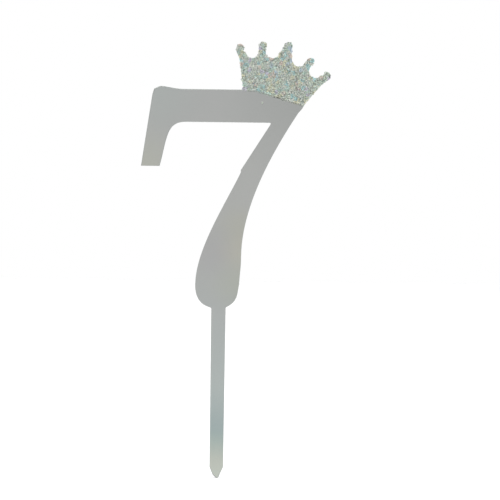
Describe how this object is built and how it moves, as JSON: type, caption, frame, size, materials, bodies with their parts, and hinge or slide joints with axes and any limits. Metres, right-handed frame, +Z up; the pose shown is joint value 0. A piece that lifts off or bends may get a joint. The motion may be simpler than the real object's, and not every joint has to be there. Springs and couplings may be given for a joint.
{
  "type": "number cake topper",
  "caption": "Flat mirror-acrylic numeral 7 on a pointed pick, with a tilted glitter-card crown stuck on the front of its bar.",
  "frame": {"origin": "on the pick's centre line at the cake's surface, where the pick leaves the foot of the 7, half way through the mirror sheet", "axes": "+Z up along the pick, +X to the right seen from the front, and the front faces -Y"},
  "size_m": [0.0647, 0.0026, 0.15],
  "materials": {
    "backing_paint": "satin",
    "mirror_film": "polished",
    "clear_acrylic": "gloss",
    "glue": "gloss",
    "crown_card": "matte",
    "glitter_binder": "satin",
    "glitter": "gloss"
  },
  "bodies": {
    "root": {"backing_paint": "backing_paint", "mirror_film": "mirror_film", "number_plate": "clear_acrylic", "glue_dot_left": "glue", "glue_dot_right": "glue", "crown_card": "crown_card", "glitter_binder": "glitter_binder", "glitter_coat": "glitter"}
  },
  "joints": []
}
